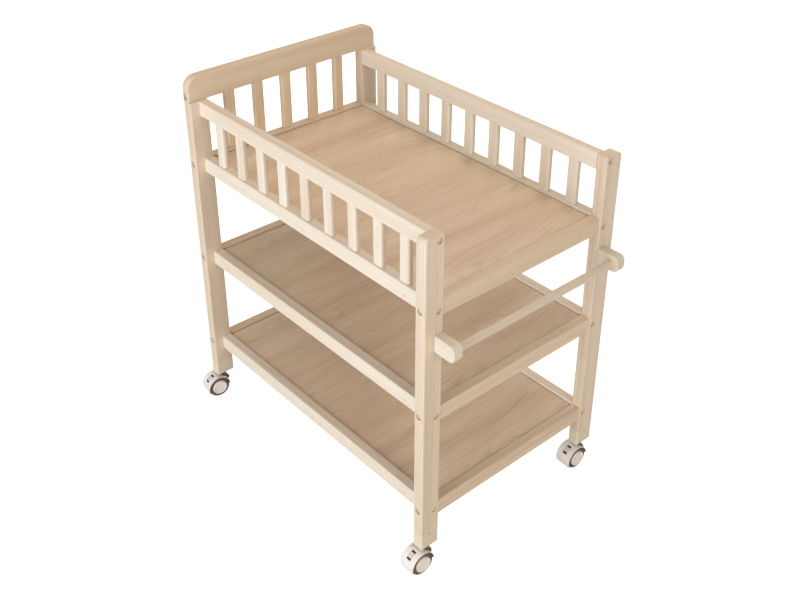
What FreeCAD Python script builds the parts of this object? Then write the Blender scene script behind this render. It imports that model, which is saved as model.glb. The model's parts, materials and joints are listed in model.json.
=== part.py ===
import FreeCAD, Part
import math
import os

# Baby changing trolley in solid pine: a railed changing deck over two open shelves, a headboard
# at one end, a towel bar at the other, and four hooded twin-wheel casters with brake levers.
# Millimetres. +X points to the towel bar end (the foot), -X to the headboard, -Y to the front,
# +Z up. Everything is built about the middle of the frame, with the floor at Z = 0, and then
# moved so that the origin lies on the floor under the middle of the overall box.

# ---- frame ----
frame_length = 881.0          # over the posts, along X
frame_width = 590.0           # over the posts, along Y
post_thickness = 29.0         # along X
post_width = 51.0             # along Y
post_top = 901.0              # top of the posts above the floor
post_edge = 2.5               # eased long edges
post_corner = 12.0            # rounded outer top corner of the foot posts

rail_thickness = 25.0
rail_height = 40.0
rail_edge = 2.5
cross_rail_inset = 2.5        # a cross rail's outer face lies this far inside the post's
deck_rail_nose = 9.0          # rounded outer top edge of the deck's rail over the towel bar

deck_top = 745.5              # rail tops above the floor
middle_top = 469.0
bottom_top = 192.0

# ---- panels and what carries them ----
panel_thickness = 12.0
panel_gap = 2.0               # shadow gap all round
deck_recess = 6.0             # panel top below the rail top
shelf_recess = 5.0
cleat_section = 16.0
cleat_end_gap = 12.0          # from the cleat's end to the cross rail

# ---- slats and headboard ----
slat_width = 30.0
slat_thickness = 15.0
slat_edge = 5.0               # rounded edges
side_slats = 9
headboard_slat_count = 5
headboard_height = 64.0
headboard_thickness = 25.0
headboard_proud = 2.0         # behind the head posts' outer faces
headboard_corner = 32.0
headboard_edge = 3.0          # bevelled edges
headboard_joint_rise = 12.0   # cross dowel above the post's top

# ---- towel bar ----
bracket_length = 60.5
bracket_height = 41.0
bracket_corner = 12.0
bracket_top = 667.0
bar_diameter = 20.0
bar_from_post = 40.5          # bar's centre to the post's outer face
bar_drop = 22.0               # bar's centre below the bracket's top
bar_seat = 15.0               # depth of the bar's seat in each bracket
seat_clearance = 0.15

# ---- foot blocks ----
foot_block_height = 43.0
tenon_length = 14.0
tenon_thickness = 15.0
tenon_width = 30.0
pin_hole_diameter = 5.0
pin_hole_depth = 6.0
pin_drop = 7.0                # pin hole below the joint line

# ---- furniture screws: flat wide heads sunk in round recesses ----
screw_recess_diameter = 15.0
screw_recess_depth = 4.0      # the head's face below the wood
screw_head_diameter = 14.4
screw_head_height = 3.0
screw_diameter = 6.0
screw_bite = 35.0             # length held in the second piece
screw_clearance = 0.1
# The rail screws' height above the rail's middle, level by level.
deck_screw_rise = -4.0
middle_screw_rise = -1.0
bottom_screw_rise = 2.0
guard_screw_rise = 7.0
cross_screw_step = 8.5        # a cross rail's screw passes over the side rail's

# ---- headboard fixing: a stud in each head post's top and a cross dowel in the rail's end ----
stud_diameter = 6.0
stud_in_post = 38.0
dowel_nut_length = 20.0
dowel_nut_recess = 4.0

# ---- casters ----
wheel_diameter = 60.0
caster_neck = 10.0            # from the top of the wheels to the post
trail = 24.5                  # axle behind the swivel axis
wheel_space = 13.4            # between the two wheels
tyre_face = 20.7              # tyre's outer side, from the caster's middle
hub_face = 24.0               # hub cap's outer side, from the caster's middle
hub_cap_diameter = 41.0
axle_diameter = 6.0
axle_length = 34.0
axle_end_gap = 0.4
axle_clearance = 0.05
axle_boss_diameter = 15.0
side_clearance = 0.4          # wheel to axle boss
hood_width = 43.0
hood_wall = 1.2
hood_clearance = 1.8          # tyre to hood
hood_start = 5.0              # degrees from +Y, over the top, about the axle
hood_end = 235.0
web_thickness = 5.0
web_bottom = 14.0             # above the floor
web_neck_start = 38.0         # where the web passes through the hood, degrees
web_neck_end = 66.0
boss_diameter = 17.0          # swivel boss
boss_skirt_diameter = 30.0    # at its foot; it narrows upwards to the boss
boss_skirt_top = 57.0
boss_bottom = 44.0
flange_thickness = 2.5        # stem flange under the post
flange_diameter = 18.0
swivel_gap = 0.3              # flange to boss
kingpin_diameter = 10.0
kingpin_length = 10.0
kingpin_clearance = 0.1
stem_diameter = 8.0
stem_length = 27.0
stem_clearance = 0.1

# ---- brake lever ----
brake_middle = 126.0          # degrees from +Y about the axle
brake_window_span = 44.0
brake_window_width = 12.6
brake_pad_span = 25.0
brake_pad_width = 11.0
brake_pad_proud = 1.4         # above the hood
brake_pad_thickness = 3.0
brake_pivot_radius = 20.0     # from the axle
brake_pin_diameter = 3.0
brake_cheek_gap = 0.5         # cheek to web
brake_cheek_span = 15.0
brake_cheek_eye = 7.0
brake_relief = 4.6            # web cut back under the pad
brake_pin_clearance = 0.1

# ---- flats: what repeats is drawn with few enough faces to keep the whole light ----
wheel_sides = 24              # wheels and hoods; a multiple of 4
boss_sides = 16               # swivel boss, flange, bores and the towel bar's seats
head_sides = 12               # furniture screws' heads and recesses
pin_sides = 8
shank_sides = 6
edge_flat_count = 2           # in an eased edge
slat_flat_count = 3
nose_flat_count = 4

tolerance = 0.01              # for telling edges apart

# How far each caster stands turned from straight, degrees about +Z.
caster_turn = {"front_foot": -1.1, "back_foot": -1.6, "front_head": -6.4, "back_head": -3.0}

# ---- places that follow from the sizes ----
wheel_radius = wheel_diameter / 2
caster_height = wheel_diameter + caster_neck
block_top = caster_height + foot_block_height
post_x = (frame_length - post_thickness) / 2
post_y = (frame_width - post_width) / 2
post_inner_x = frame_length / 2 - post_thickness
post_inner_y = frame_width / 2 - post_width
side_rail_y = post_inner_y + rail_thickness / 2
cross_rail_x = frame_length / 2 - cross_rail_inset - rail_thickness / 2
headboard_x = headboard_thickness / 2 - frame_length / 2 - headboard_proud
guard_bottom = post_top - rail_height
bracket_bottom = bracket_top - bracket_height
bar_x = frame_length / 2 + bar_from_post
bar_z = bracket_top - bar_drop
hood_inner = wheel_radius + hood_clearance
hood_outer = hood_inner + hood_wall
arc_step = 360 / wheel_sides
headboard_joint_y = frame_width / 2 - dowel_nut_recess - dowel_nut_length / 2
headboard_joint_z = post_top + headboard_joint_rise

corners = {
    "front_foot": (1, -1),
    "back_foot": (1, 1),
    "front_head": (-1, -1),
    "back_head": (-1, 1),
}
levels = {
    "deck": (deck_top, deck_recess, deck_screw_rise),
    "middle_shelf": (middle_top, shelf_recess, middle_screw_rise),
    "bottom_shelf": (bottom_top, shelf_recess, bottom_screw_rise),
}


def vector(x, y, z):
    return FreeCAD.Vector(x, y, z)


def around(middle, size):
    """Low and high value of a size centred on a middle."""
    return (middle - size / 2, middle + size / 2)


def block(x, y, z):
    """Box between the low and high values on each axis."""
    return Part.makeBox(x[1] - x[0], y[1] - y[0], z[1] - z[0], vector(x[0], y[0], z[0]))


def ring_points(corner_radius, sides, middle, direction):
    """Corners of a regular outline across a direction; across X it has a flat at the bottom."""
    turn = FreeCAD.Rotation(vector(0, 0, 1), direction)
    points = []
    for number in range(sides):
        angle = 2 * math.pi * (number + 0.5) / sides
        spoke = vector(corner_radius * math.cos(angle), corner_radius * math.sin(angle), 0)
        points.append(middle + turn.multVec(spoke))
    return points


def prism(corner_radius, sides, start, end):
    """Many-sided bar from one point to another."""
    return outline_face(ring_points(corner_radius, sides, start, end - start)).extrude(end - start)


def tapered_prism(start_diameter, end_diameter, start, end, sides):
    """Many-sided bar that narrows or widens evenly from one point to another."""
    low = ring_points(start_diameter / 2, sides, start, end - start)
    high = ring_points(end_diameter / 2, sides, end, end - start)
    faces = [outline_face(low), outline_face(high)]
    for number in range(sides):
        after = (number + 1) % sides
        faces.append(outline_face([low[number], low[after], high[after], high[number]]))
    return Part.Solid(Part.Shell(faces))


def rod(diameter, start, end, sides=None):
    """Round bar from one point to another, or one with flats and its corners on the diameter."""
    if sides:
        return prism(diameter / 2, sides, start, end)
    run = end - start
    return Part.makeCylinder(diameter / 2, run.Length, start, run)


def round_room(diameter, start, end, sides):
    """Bar with its flats on the diameter: the room that a round bar of that size needs."""
    return prism(diameter / 2 / math.cos(math.pi / sides), sides, start, end)


def outline_face(points):
    return Part.Face(Part.makePolygon(points + points[:1]))


def rounded_outline(a, b, radii, flats):
    """Points round a rectangle from its high corner on, with each corner's radius in a few flats."""
    points = []
    for quarter, radius in enumerate(radii):
        side_a = 1 if quarter in (0, 3) else -1
        side_b = 1 if quarter in (0, 1) else -1
        centre_a = (max(a) if side_a > 0 else min(a)) - side_a * radius
        centre_b = (max(b) if side_b > 0 else min(b)) - side_b * radius
        for step in range(flats + 1):
            angle = math.radians(90 * (quarter + step / flats))
            points.append((centre_a + radius * math.cos(angle), centre_b + radius * math.sin(angle)))
    return points


def board(x, y, z, along, radii, flats=edge_flat_count):
    """Bar with its four long edges eased, running along axis 0, 1 or 2."""
    spans = [x, y, z]
    run = spans.pop(along)
    points = []
    for pair in rounded_outline(*spans, radii, flats):
        place = list(pair)
        place.insert(along, min(run))
        points.append(vector(*place))
    step = [0, 0, 0]
    step[along] = max(run) - min(run)
    return outline_face(points).extrude(vector(*step))


def edges_where(shape, test):
    """Edges whose middle passes a test."""
    return [edge for edge in shape.Edges if test(edge.CenterOfMass)]


def bored(piece, cutters):
    """Piece with the holes that reach it cut out."""
    near = [cutter for cutter in cutters if piece.BoundBox.intersect(cutter.BoundBox)]
    return piece.cut(near) if near else piece


# ---- screws and their holes ----
def frame_screw_places():
    """Each furniture screw: a point on the wood's face, its direction and the first piece's depth."""
    places = []
    side_heights = [top - rail_height / 2 + rise for top, recess, rise in levels.values()]
    cross_heights = [height + cross_screw_step for height in side_heights]
    side_heights.append(post_top - rail_height / 2 + guard_screw_rise)
    for side_x, side_y in corners.values():
        for height in side_heights:
            face = vector(side_x * frame_length / 2, side_y * side_rail_y, height)
            places.append((face, vector(-side_x, 0, 0), post_thickness))
        for height in cross_heights:
            face = vector(side_x * post_x, side_y * frame_width / 2, height)
            places.append((face, vector(0, -side_y, 0), post_width))
    for side_y in (-1, 1):
        height = (bracket_top + bar_z + bar_diameter / 2) / 2
        face = vector(post_inner_x, side_y * side_rail_y, height)
        places.append((face, vector(1, 0, 0), post_thickness))
    return places


def frame_screw(face, direction, depth):
    head = face + direction * screw_recess_depth
    seat = head + direction * screw_head_height
    tip = face + direction * (depth + screw_bite)
    wide = rod(screw_head_diameter, head, seat, head_sides)
    return wide.fuse(rod(screw_diameter, seat, tip, shank_sides)).removeSplitter()


def frame_screw_hole(face, direction, depth):
    seat = face + direction * (screw_recess_depth + screw_head_height)
    bottom = face + direction * (depth + screw_bite)
    recess = round_room(screw_recess_diameter, face, seat, head_sides)
    return recess.fuse(round_room(screw_diameter + 2 * screw_clearance, face, bottom, shank_sides))


# ---- posts and foot blocks ----
def post(side_x, side_y):
    """Upright with a tenon into its foot block; the foot end's posts have a round outer top corner."""
    x = around(side_x * post_x, post_thickness)
    y = around(side_y * post_y, post_width)
    z = (block_top, post_top)
    upright = board(x, y, z, 2, [post_edge] * 4)
    if side_x > 0:
        corner = vector(side_x * post_x, side_y * frame_width / 2, post_top)
        rounding = block(x, y, z)
        corner_edge = edges_where(rounding, lambda middle: (middle - corner).Length < tolerance)
        upright = upright.common(rounding.makeFillet(post_corner, corner_edge))
    tenon = block(
        around(side_x * post_x, tenon_thickness),
        around(side_y * post_y, tenon_width),
        (block_top - tenon_length, block_top),
    )
    return upright.fuse(tenon)


def foot_block(side_x, side_y):
    """Block under a post, with the tenon's mortise, a pin hole in its outer face and the stem's hole."""
    x = side_x * post_x
    y = side_y * post_y
    body = board(
        around(x, post_thickness), around(y, post_width), (caster_height, block_top), 2, [post_edge] * 4
    )
    mortise = block(
        around(x, tenon_thickness + 2 * seat_clearance),
        around(y, tenon_width + 2 * seat_clearance),
        (block_top - tenon_length - seat_clearance, block_top),
    )
    bottom = vector(x, y, caster_height)
    top = bottom + vector(0, 0, stem_length + seat_clearance)
    stem_hole = round_room(stem_diameter + 2 * stem_clearance, bottom, top, pin_sides)
    pin_face = vector(side_x * frame_length / 2, y, block_top - pin_drop)
    pin_end = pin_face - vector(side_x * pin_hole_depth, 0, 0)
    return body.cut([mortise, stem_hole, round_room(pin_hole_diameter, pin_face, pin_end, pin_sides)])


# ---- rails, panels and cleats ----
def side_rail(side_y, top):
    y = around(side_y * side_rail_y, rail_thickness)
    return board((-post_inner_x, post_inner_x), y, (top - rail_height, top), 0, [rail_edge] * 4)


def cross_rail(side_x, top):
    """Rail between two posts; the deck's rail over the towel bar has a large round nose."""
    x = around(side_x * cross_rail_x, rail_thickness)
    y = (-post_inner_y, post_inner_y)
    z = (top - rail_height, top)
    if side_x > 0 and top == deck_top:
        return board(x, y, z, 1, [deck_rail_nose] + [rail_edge] * 3, nose_flat_count)
    return board(x, y, z, 1, [rail_edge] * 4)


def panel(top, recess):
    half_length = cross_rail_x - rail_thickness / 2 - panel_gap
    half_width = post_inner_y - panel_gap
    upper = top - recess
    return block((-half_length, half_length), (-half_width, half_width), (upper - panel_thickness, upper))


def cleats(top, recess):
    """Two battens on the side rails' inner faces, under the panel's edges."""
    half_length = cross_rail_x - rail_thickness / 2 - cleat_end_gap
    upper = top - recess - panel_thickness
    pair = []
    for side_y in (-1, 1):
        y = around(side_y * (post_inner_y - cleat_section / 2), cleat_section)
        pair.append(block((-half_length, half_length), y, (upper - cleat_section, upper)))
    return pair


# ---- slats and headboard ----
def slat_places(clear_length, count):
    """Middles of evenly spaced slats, with the same gap at both ends as between them."""
    gap = (clear_length - count * slat_width) / (count + 1)
    return [(number - (count - 1) / 2) * (slat_width + gap) for number in range(count)]


def guard_slats(side_y):
    y = around(side_y * side_rail_y, slat_thickness)
    z = (deck_top, guard_bottom)
    places = slat_places(2 * post_inner_x, side_slats)
    return [board(around(x, slat_width), y, z, 2, [slat_edge] * 4, slat_flat_count) for x in places]


def headboard_slats():
    x = around(headboard_x, slat_thickness)
    z = (deck_top, post_top)
    places = slat_places(2 * post_inner_y, headboard_slat_count)
    return [board(x, around(y, slat_width), z, 2, [slat_edge] * 4, slat_flat_count) for y in places]


def headboard_rail():
    """Deep top rail across both head posts, with round upper corners and bevelled edges."""
    x = around(headboard_x, headboard_thickness)
    half = frame_width / 2
    top = post_top + headboard_height
    slope = headboard_corner * (1 - math.sqrt(0.5))
    base = [vector(x[0], -half, post_top), vector(x[0], half, post_top)]
    right = [
        vector(x[0], half, top - headboard_corner),
        vector(x[0], half - slope, top - slope),
        vector(x[0], half - headboard_corner, top),
    ]
    left = [vector(point.x, -point.y, point.z) for point in reversed(right)]
    outline = [
        Part.makeLine(base[0], base[1]),
        Part.makeLine(base[1], right[0]),
        Part.Arc(*right).toShape(),
        Part.makeLine(right[2], left[0]),
        Part.Arc(*left).toShape(),
        Part.makeLine(left[2], base[0]),
    ]
    rail = Part.Face(Part.Wire(outline)).extrude(vector(headboard_thickness, 0, 0))
    in_side = headboard_thickness / 2 - tolerance
    soft = edges_where(rail, lambda p: abs(p.x - headboard_x) > in_side and p.z > post_top + tolerance)
    rail = rail.makeChamfer(headboard_edge, soft)
    return bored(rail, [headboard_joint_hole(side_y) for side_y in (-1, 1)])


def headboard_joint_hole(side_y):
    """Room for a cross dowel from the rail's end and for the stud from below."""
    end = vector(headboard_x, side_y * frame_width / 2, headboard_joint_z)
    deep = end - vector(0, side_y * (dowel_nut_recess + dowel_nut_length), 0)
    low = vector(headboard_x, side_y * headboard_joint_y, post_top)
    high = low + vector(0, 0, headboard_joint_rise)
    shaft = round_room(stud_diameter + 2 * screw_clearance, low, high, pin_sides)
    return round_room(screw_recess_diameter, end, deep, head_sides).fuse(shaft)


def headboard_stud_hole(side_y):
    top = vector(headboard_x, side_y * headboard_joint_y, post_top)
    bottom = top - vector(0, 0, stud_in_post + seat_clearance)
    return round_room(stud_diameter + 2 * screw_clearance, bottom, top, pin_sides)


def headboard_stud(side_y):
    """Threaded stud from the head post's top up to the cross dowel."""
    joint = vector(headboard_x, side_y * headboard_joint_y, post_top)
    reach = headboard_joint_rise - screw_head_diameter / 2
    return rod(stud_diameter, joint - vector(0, 0, stud_in_post), joint + vector(0, 0, reach), pin_sides)


def headboard_nut(side_y):
    """Cross dowel in the end of the headboard rail, as wide as a screw's head."""
    end = vector(headboard_x, side_y * frame_width / 2, headboard_joint_z)
    start = end - vector(0, side_y * dowel_nut_recess, 0)
    return rod(screw_head_diameter, start, start - vector(0, side_y * dowel_nut_length, 0), head_sides)


# ---- towel bar ----
def towel_bracket(side_y):
    """Arm on a foot post with round outer corners and a blind seat for the bar."""
    end_x = frame_length / 2 + bracket_length
    y = around(side_y * side_rail_y, rail_thickness)
    arm = block((frame_length / 2, end_x), y, (bracket_bottom, bracket_top))
    ends = [vector(end_x, side_y * side_rail_y, height) for height in (bracket_bottom, bracket_top)]
    end_edges = edges_where(arm, lambda middle: min((middle - end).Length for end in ends) < tolerance)
    arm = arm.makeFillet(bracket_corner, end_edges)
    inner = vector(bar_x, side_y * post_inner_y, bar_z)
    seat_end = inner + vector(0, side_y * bar_seat, 0)
    seat = round_room(bar_diameter + 2 * seat_clearance, inner, seat_end, boss_sides)
    return arm.cut(seat)


def towel_bar():
    reach = post_inner_y + bar_seat - seat_clearance
    return rod(bar_diameter, vector(bar_x, -reach, bar_z), vector(bar_x, reach, bar_z))


# ---- casters, about the swivel axis, with the floor at Z = 0 and the axle along X ----
def about_axle(radius, degrees, x=0.0):
    """Point at a radius and angle about the axle; 0 degrees is +Y and 90 is up."""
    angle = math.radians(degrees)
    return vector(x, radius * math.cos(angle) - trail, radius * math.sin(angle) + wheel_radius)


def axle_rod(diameter, x_start, x_end, sides=None):
    return rod(diameter, about_axle(0, 0, x_start), about_axle(0, 0, x_end), sides)


def axle_room(diameter, x_start, x_end, sides):
    return round_room(diameter, about_axle(0, 0, x_start), about_axle(0, 0, x_end), sides)


def arc_points(radius, start, end, x):
    """Corners along a wheel's flats at a radius about the axle, from one angle to another."""
    low, high = sorted((start, end))
    first_corner = (math.floor(low / arc_step + 0.5) + 0.5) * arc_step
    inside = [first_corner + arc_step * number for number in range(wheel_sides)]
    angles = [low] + [angle for angle in inside if low + tolerance < angle < high - tolerance] + [high]
    if start > end:
        angles.reverse()
    points = []
    for angle in angles:
        from_middle = math.radians(angle - arc_step * round(angle / arc_step))
        points.append(about_axle(radius / math.cos(from_middle), angle, x))
    return points


def ring_sector(inner, outer, start, end, x):
    """Part of a ring about the axle, between two angles and two X values."""
    points = arc_points(outer, start, end, x[0]) + arc_points(inner, end, start, x[0])
    return outline_face(points).extrude(vector(x[1] - x[0], 0, 0))


def caster_stem():
    """Fixed steel stem: shank up into the foot block, flange under it, kingpin down into the fork."""
    under_post = vector(0, 0, caster_height)
    flange_bottom = vector(0, 0, caster_height - flange_thickness)
    shank = rod(stem_diameter, under_post, under_post + vector(0, 0, stem_length), pin_sides)
    flange = rod(flange_diameter, flange_bottom, under_post, boss_sides)
    kingpin = rod(kingpin_diameter, flange_bottom - vector(0, 0, kingpin_length), flange_bottom)
    return shank.fuse([flange, kingpin]).removeSplitter()


def caster_fork():
    """Swivelling core: boss on the kingpin, web between the wheels and the axle's boss."""
    web_x = around(0, web_thickness)
    web = axle_rod(2 * hood_inner, *web_x, wheel_sides)
    floor_cut = block(around(0, hood_width), around(-trail, 3 * wheel_diameter), (-wheel_diameter, web_bottom))
    half_window = brake_window_span / 2
    relief = ring_sector(
        hood_inner - brake_relief, hood_outer, brake_middle - half_window, brake_middle + half_window,
        around(0, hood_width),
    )
    web = web.cut([floor_cut, relief])
    neck = ring_sector(hood_inner - hood_wall, hood_outer + hood_wall, web_neck_start, web_neck_end, web_x)

    flange_bottom = caster_height - flange_thickness
    boss_base = vector(0, 0, boss_bottom)
    column = rod(boss_diameter, boss_base, vector(0, 0, flange_bottom - swivel_gap), boss_sides)
    skirt_top = vector(0, 0, boss_skirt_top)
    skirt = tapered_prism(boss_skirt_diameter, boss_diameter, boss_base, skirt_top, boss_sides)
    hood_room = axle_room(2 * hood_outer, -hood_width, hood_width, wheel_sides)
    boss = column.fuse(skirt).cut(hood_room)

    axle_boss = axle_rod(axle_boss_diameter, *around(0, wheel_space - 2 * side_clearance), boss_sides)
    kingpin_end = vector(0, 0, flange_bottom - kingpin_length - kingpin_clearance)
    kingpin_width = kingpin_diameter + 2 * kingpin_clearance
    kingpin_room = round_room(kingpin_width, kingpin_end, vector(0, 0, caster_height), boss_sides)
    axle_hole = axle_room(axle_diameter, -hood_width, hood_width, pin_sides)
    pin = about_axle(brake_pivot_radius, brake_middle)
    across = vector(hood_width, 0, 0)
    pin_hole = round_room(brake_pin_diameter + 2 * brake_pin_clearance, pin - across, pin + across, pin_sides)
    return web.fuse([neck, boss, axle_boss]).removeSplitter().cut([kingpin_room, axle_hole, pin_hole])


def caster_hood():
    """Thin cover over both wheels, with a slot for the web and a window for the brake lever."""
    shell = ring_sector(hood_inner, hood_outer, hood_start, hood_end, around(0, hood_width))
    slot = ring_sector(
        hood_inner - hood_wall, hood_outer + hood_wall, web_neck_start, web_neck_end,
        around(0, web_thickness),
    )
    half_window = brake_window_span / 2
    window = ring_sector(
        hood_inner - hood_wall, hood_outer + hood_wall,
        brake_middle - half_window, brake_middle + half_window, around(0, brake_window_width),
    )
    return shell.cut([slot, window])


def caster_axle():
    return axle_rod(axle_diameter, *around(0, axle_length))


def caster_wheel(side):
    """Wheel with its tread and a proud hub cap; the bore for the axle is blind."""
    tread = axle_room(wheel_diameter, side * wheel_space / 2, side * tyre_face, wheel_sides)
    cap = axle_rod(hub_cap_diameter, side * tyre_face, side * hub_face, wheel_sides)
    bore_end = axle_length / 2 + axle_end_gap
    bore = axle_room(axle_diameter + 2 * axle_clearance, 0, side * bore_end, boss_sides)
    return tread.fuse(cap).removeSplitter().cut(bore)


def brake_lever():
    """Rocker in the hood's window: a curved pad on two cheeks and their pivot pin."""
    pad_outer = hood_outer + brake_pad_proud
    pad_inner = pad_outer - brake_pad_thickness
    pad = ring_sector(
        pad_inner, pad_outer, brake_middle - brake_pad_span / 2, brake_middle + brake_pad_span / 2,
        around(0, brake_pad_width),
    )
    pin = about_axle(brake_pivot_radius, brake_middle)
    half = vector(brake_pad_width / 2, 0, 0)
    pieces = [rod(brake_pin_diameter, pin - half, pin + half)]
    inside = web_thickness / 2 + brake_cheek_gap
    outside = brake_pad_width / 2
    for x in ((-outside, -inside), (inside, outside)):
        pieces.append(ring_sector(
            brake_pivot_radius, pad_inner, brake_middle - brake_cheek_span / 2,
            brake_middle + brake_cheek_span / 2, x,
        ))
        pieces.append(rod(brake_cheek_eye, pin + vector(x[0], 0, 0), pin + vector(x[1], 0, 0), pin_sides))
    return pad.fuse(pieces).removeSplitter()


def at_corner(shape, corner, turned=True):
    """Caster piece moved from the swivel axis to its post, at the angle that it stands at."""
    side_x, side_y = corners[corner]
    placed = shape.copy()
    if turned:
        placed.rotate(vector(0, 0, 0), vector(0, 0, 1), caster_turn[corner])
    placed.translate(vector(side_x * post_x, side_y * post_y, 0))
    return placed


# ---- assembly ----
def build():
    """Every piece by name, about the middle of the frame."""
    screw_places = frame_screw_places()
    screw_holes = [frame_screw_hole(*place) for place in screw_places]
    stud_holes = [headboard_stud_hole(side_y) for side_y in (-1, 1)]

    nodes = {}
    for corner, sides in corners.items():
        nodes["post_" + corner] = bored(post(*sides), screw_holes + stud_holes)
    nodes["foot_blocks"] = [foot_block(*sides) for sides in corners.values()]

    for name, (top, recess, rise) in levels.items():
        nodes[name + "_front_rail"] = bored(side_rail(-1, top), screw_holes)
        nodes[name + "_back_rail"] = bored(side_rail(1, top), screw_holes)
        nodes[name + "_head_rail"] = bored(cross_rail(-1, top), screw_holes)
        nodes[name + "_foot_rail"] = bored(cross_rail(1, top), screw_holes)
        nodes[name + "_panel"] = panel(top, recess)
    nodes["guard_rail_front"] = bored(side_rail(-1, post_top), screw_holes)
    nodes["guard_rail_back"] = bored(side_rail(1, post_top), screw_holes)
    nodes["guard_slats_front"] = guard_slats(-1)
    nodes["guard_slats_back"] = guard_slats(1)
    nodes["headboard_rail"] = headboard_rail()
    nodes["headboard_slats"] = headboard_slats()

    all_cleats = []
    for top, recess, rise in levels.values():
        all_cleats += cleats(top, recess)
    nodes["panel_cleats"] = all_cleats

    nodes["towel_bracket_front"] = bored(towel_bracket(-1), screw_holes)
    nodes["towel_bracket_back"] = bored(towel_bracket(1), screw_holes)
    nodes["towel_bar"] = towel_bar()

    nodes["frame_screws"] = [frame_screw(*place) for place in screw_places]
    nodes["headboard_studs"] = [headboard_stud(side_y) for side_y in (-1, 1)]
    nodes["headboard_nuts"] = [headboard_nut(side_y) for side_y in (-1, 1)]

    stem = caster_stem()
    nodes["caster_stems"] = [at_corner(stem, corner, turned=False) for corner in corners]
    caster_pieces = {
        "fork": caster_fork(),
        "hood": caster_hood(),
        "axle": caster_axle(),
        "wheel_left": caster_wheel(-1),
        "wheel_right": caster_wheel(1),
        "brake_lever": brake_lever(),
    }
    for corner in corners:
        for piece, shape in caster_pieces.items():
            nodes["caster_" + corner + "_" + piece] = at_corner(shape, corner)
    return nodes


def origin_of(nodes):
    """Point on the floor under the middle of the overall box."""
    overall = FreeCAD.BoundBox()
    for shape in nodes.values():
        pieces = shape if isinstance(shape, list) else [shape]
        for piece in pieces:
            overall.add(piece.optimalBoundingBox(False, False))
    return vector(overall.Center.x, overall.Center.y, 0)


def main():
    nodes = build()
    origin = origin_of(nodes)
    os.makedirs("parts", exist_ok=True)
    for name, shape in nodes.items():
        solid = Part.makeCompound(shape) if isinstance(shape, list) else shape
        solid.translate(origin * -1)
        solid.exportStep("parts/" + name + ".step")
    print(len(nodes), "pieces written; the frame's middle lies at", origin * -1)


main()
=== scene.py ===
"""Looks of a pine changing trolley: its boards, screws, towel bar and hooded casters, and its stage.

Everything is in metres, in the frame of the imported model: +Z up, +X towards the towel bar.
"""
import json
import logging
import math
from collections.abc import Callable, Sequence
from dataclasses import dataclass
from enum import Enum

import bmesh
import bpy
from mathutils import Matrix, Vector

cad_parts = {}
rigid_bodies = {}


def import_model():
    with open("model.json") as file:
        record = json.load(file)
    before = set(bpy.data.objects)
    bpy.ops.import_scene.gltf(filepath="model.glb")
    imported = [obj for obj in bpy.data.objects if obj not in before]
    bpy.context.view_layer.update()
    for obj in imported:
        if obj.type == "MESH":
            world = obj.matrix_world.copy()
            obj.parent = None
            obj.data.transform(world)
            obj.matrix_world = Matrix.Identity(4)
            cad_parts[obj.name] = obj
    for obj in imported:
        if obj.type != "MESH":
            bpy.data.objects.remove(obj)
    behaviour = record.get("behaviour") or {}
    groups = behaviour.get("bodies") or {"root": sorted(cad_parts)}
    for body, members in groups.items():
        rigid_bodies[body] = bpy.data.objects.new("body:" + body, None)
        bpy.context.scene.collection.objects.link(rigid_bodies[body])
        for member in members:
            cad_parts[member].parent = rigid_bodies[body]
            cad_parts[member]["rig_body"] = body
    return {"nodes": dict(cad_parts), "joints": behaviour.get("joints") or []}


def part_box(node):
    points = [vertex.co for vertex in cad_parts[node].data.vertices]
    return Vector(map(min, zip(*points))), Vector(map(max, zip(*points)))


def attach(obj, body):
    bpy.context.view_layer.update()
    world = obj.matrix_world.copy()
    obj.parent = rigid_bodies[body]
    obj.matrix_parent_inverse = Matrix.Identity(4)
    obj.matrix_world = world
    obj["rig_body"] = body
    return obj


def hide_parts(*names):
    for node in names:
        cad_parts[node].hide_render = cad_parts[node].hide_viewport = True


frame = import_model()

log = logging.getLogger("changing_trolley")

CORNERS = ("front_foot", "back_foot", "front_head", "back_head")
Bytes = tuple[int, int, int]
Colour = tuple[float, float, float, float]
Material = bpy.types.Material
Node = bpy.types.Node
Pair = tuple[float, float]
Radius = Callable[[float, float], float]
Socket = bpy.types.NodeSocket
Sockets = dict[str, Socket]
Triple = tuple[float, float, float]
Values = dict[str | int, object]
Vert = bmesh.types.BMVert


def remove_strays() -> None:
    """Removes what an unsaved scene starts with, so that only the trolley is left."""
    for stray in list(bpy.data.objects):
        if "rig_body" not in stray and stray.type in {"MESH", "LIGHT", "CAMERA"}:
            bpy.data.objects.remove(stray)


remove_strays()
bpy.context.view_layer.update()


class Axis(Enum):
    """Direction in which a board's grain runs, as the order of axes that puts it first."""

    X = (0, 1, 2)
    Y = (1, 0, 2)
    Z = (2, 0, 1)


class Slot(Enum):
    """Material slots of the record that new pieces take."""

    PINE = "pine"
    GREY = "grey_plastic"
    WHITE = "white_plastic"
    BEIGE = "beige_plastic"
    WHEEL = "wheel"
    SCREW = "beige_screw"


def srgb(colour: Bytes) -> Colour:
    """Turns a display colour into the linear one that shaders take.

    Args:
        colour: Red, green and blue, 0 to 255.

    Returns:
        The linear colour with full alpha.
    """
    shares = [value / 255 for value in colour]
    red, green, blue = [part / 12.92 if part <= 0.04045 else ((part + 0.055) / 1.055) ** 2.4 for part in shares]
    return red, green, blue, 1.0


# ---------------------------------------------------------------- shader trees
@dataclass(frozen=True)
class Streaks:
    """Noise that is drawn out along the grain: cells in a metre along and across it, and octaves."""

    along: float
    across: float
    detail: float = 2.0


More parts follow.
